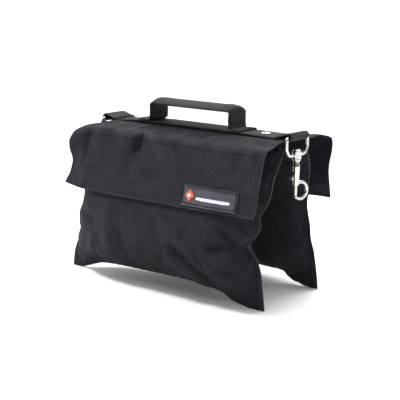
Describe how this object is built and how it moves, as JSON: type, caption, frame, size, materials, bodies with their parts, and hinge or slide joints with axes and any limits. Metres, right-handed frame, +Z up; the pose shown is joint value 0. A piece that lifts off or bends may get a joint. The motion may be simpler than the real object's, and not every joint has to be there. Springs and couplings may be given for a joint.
{
  "type": "saddle sandbag",
  "caption": "Saddle sandbag: two sand pouches with cover flaps hung either side of a webbing spine, with a carry handle, end ring and swivel snap hook.",
  "frame": {"origin": "on the floor, under the middle of the whole object's box", "axes": "+Z up; X along the bag, with the swivel hook at +X; the front pouch with the label at -Y"},
  "size_m": [0.4212, 0.2342, 0.3056],
  "materials": {
    "shell_fabric": "matte",
    "webbing": "matte",
    "binding": "matte",
    "loop_tape": "matte",
    "hook_tape": "satin",
    "label_rubber": "matte",
    "nickel": "polished",
    "spring_steel": "satin",
    "liner_film": "satin",
    "sand": "matte"
  },
  "bodies": {
    "saddle": {"top_strap": "webbing", "spine_panel": "shell_fabric", "rivet_caps": "nickel", "rivet_washers": "nickel", "handle_feet": "webbing"},
    "front_pouch": {"front_shoulder": "shell_fabric", "front_outer_panel": "shell_fabric", "front_inner_panel": "shell_fabric", "front_side_binding": "binding", "front_bottom_corners": "shell_fabric", "front_sand_liner": "liner_film", "front_sand_fill": "sand", "front_loop_tape": "loop_tape"},
    "front_flap": {"front_flap": "shell_fabric", "front_hook_tape": "hook_tape", "label_patch": "label_rubber"},
    "rear_pouch": {"rear_shoulder": "shell_fabric", "rear_outer_panel": "shell_fabric", "rear_inner_panel": "shell_fabric", "rear_side_binding": "binding", "rear_bottom_corners": "shell_fabric", "rear_sand_liner": "liner_film", "rear_sand_fill": "sand", "rear_loop_tape": "loop_tape"},
    "rear_flap": {"rear_flap": "shell_fabric", "rear_hook_tape": "hook_tape"},
    "handle_left_leg": {"handle_left_leg": "webbing"},
    "handle_grip": {"handle_grip": "webbing"},
    "handle_right_leg": {"handle_right_leg": "webbing"},
    "end_ring": {"end_ring": "nickel"},
    "swivel_eye": {"swivel_eye": "nickel"},
    "hook_body": {"hook_body": "nickel", "bolt_spring": "spring_steel"},
    "hook_bolt": {"hook_bolt": "nickel", "bolt_knob": "nickel"}
  },
  "joints": [
    {"name": "front_pouch_swing", "type": "hinge", "parent": "saddle", "child": "front_pouch", "pos_m": [-0.005, -0.028, 0.261], "axis": [-1, 0, 0], "range_deg": [-3, 60]},
    {"name": "rear_pouch_swing", "type": "hinge", "parent": "saddle", "child": "rear_pouch", "pos_m": [-0.005, 0.028, 0.261], "axis": [1, 0, 0], "range_deg": [-3, 60]},
    {"name": "front_flap_lift", "type": "hinge", "parent": "front_pouch", "child": "front_flap", "pos_m": [-0.005, -0.075, 0.2535], "axis": [-1, 0, 0], "range_deg": [0, 115]},
    {"name": "rear_flap_lift", "type": "hinge", "parent": "rear_pouch", "child": "rear_flap", "pos_m": [-0.005, 0.075, 0.2535], "axis": [1, 0, 0], "range_deg": [0, 115]},
    {"name": "handle_lean", "type": "hinge", "parent": "saddle", "child": "handle_left_leg", "pos_m": [-0.081, 0, 0.2679], "axis": [0, 1, 0], "range_deg": [-45, 45], "stiffness_Nm_per_rad": 0.05},
    {"name": "handle_grip_fold", "type": "hinge", "parent": "handle_left_leg", "child": "handle_grip", "pos_m": [-0.081, 0, 0.3002], "axis": [0, 1, 0], "range_deg": [-45, 45]},
    {"name": "handle_right_fold", "type": "hinge", "parent": "handle_grip", "child": "handle_right_leg", "pos_m": [0.086, 0, 0.3002], "axis": [0, 1, 0], "range_deg": [-45, 45]},
    {"name": "end_ring_swing", "type": "hinge", "parent": "saddle", "child": "end_ring", "pos_m": [-0.184, 0, 0.262], "axis": [0, 1, 0], "range_deg": [0, 180]},
    {"name": "swivel_eye_swing", "type": "hinge", "parent": "saddle", "child": "swivel_eye", "pos_m": [0.203, 0, 0.2655], "axis": [0, -1, 0], "range_deg": [-5, 150]},
    {"name": "hook_swivel", "type": "hinge", "parent": "swivel_eye", "child": "hook_body", "pos_m": [0.203, 0, 0.237], "axis": [0, 0, 1], "continuous": true},
    {"name": "bolt_slide", "type": "slide", "parent": "hook_body", "child": "hook_bolt", "axis": [0, 0, 1], "range_m": [0, 0.008], "stiffness_N_per_m": 150, "springref_m": -0.01, "deforming": ["bolt_spring"]}
  ],
  "couplings": [
    {"joint": "handle_grip_fold", "follows": "handle_lean", "ratio": -1},
    {"joint": "handle_right_fold", "follows": "handle_lean", "ratio": 1}
  ]
}
